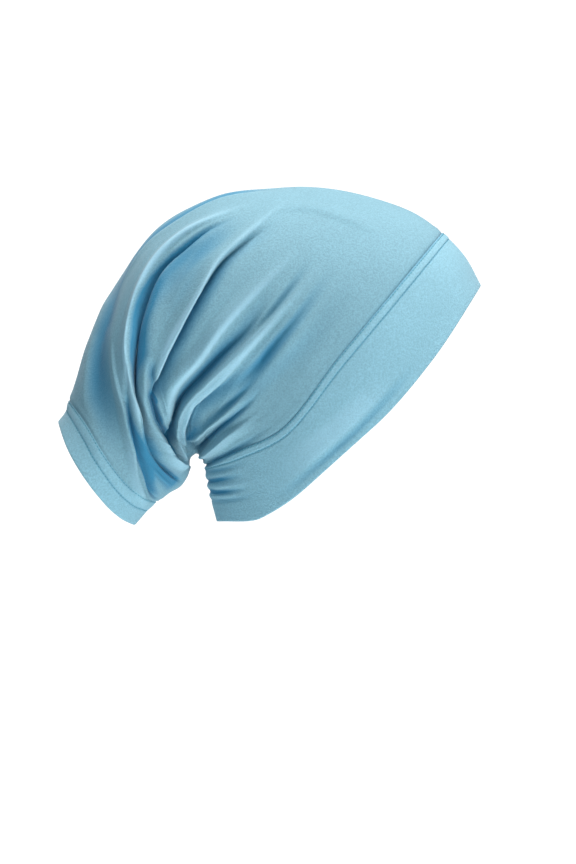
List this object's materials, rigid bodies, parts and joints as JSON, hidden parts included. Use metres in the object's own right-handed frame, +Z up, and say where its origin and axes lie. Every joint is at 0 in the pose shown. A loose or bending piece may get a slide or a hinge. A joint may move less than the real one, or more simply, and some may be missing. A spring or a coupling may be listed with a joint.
{
  "type": "hijab underscarf cap",
  "caption": "Slip-on jersey underscarf cap: a doubled band round the head, a crown gathered at the nape, and a slack open tail with a doubled hem.",
  "frame": {"origin": "on the inner face of the crown, at the highest point of the mid-plane, where the top of a head carries the cap", "axes": "+X forwards over the forehead, +Z up, Y across the head from side to side; the pictured side is -Y"},
  "size_m": [0.2816, 0.1601, 0.2249],
  "materials": {
    "crown_jersey": "fine single jersey, matt with a soft sheen, pale sky blue",
    "band_jersey": "the same jersey doubled, smoother and tighter",
    "hem_jersey": "the same jersey turned up and doubled",
    "thread": "fine sewing thread, a shade deeper than the jersey"
  },
  "bodies": {
    "root": {"front_band": "band_jersey", "crown": "crown_jersey", "tail_hem": "hem_jersey"}
  },
  "joints": []
}
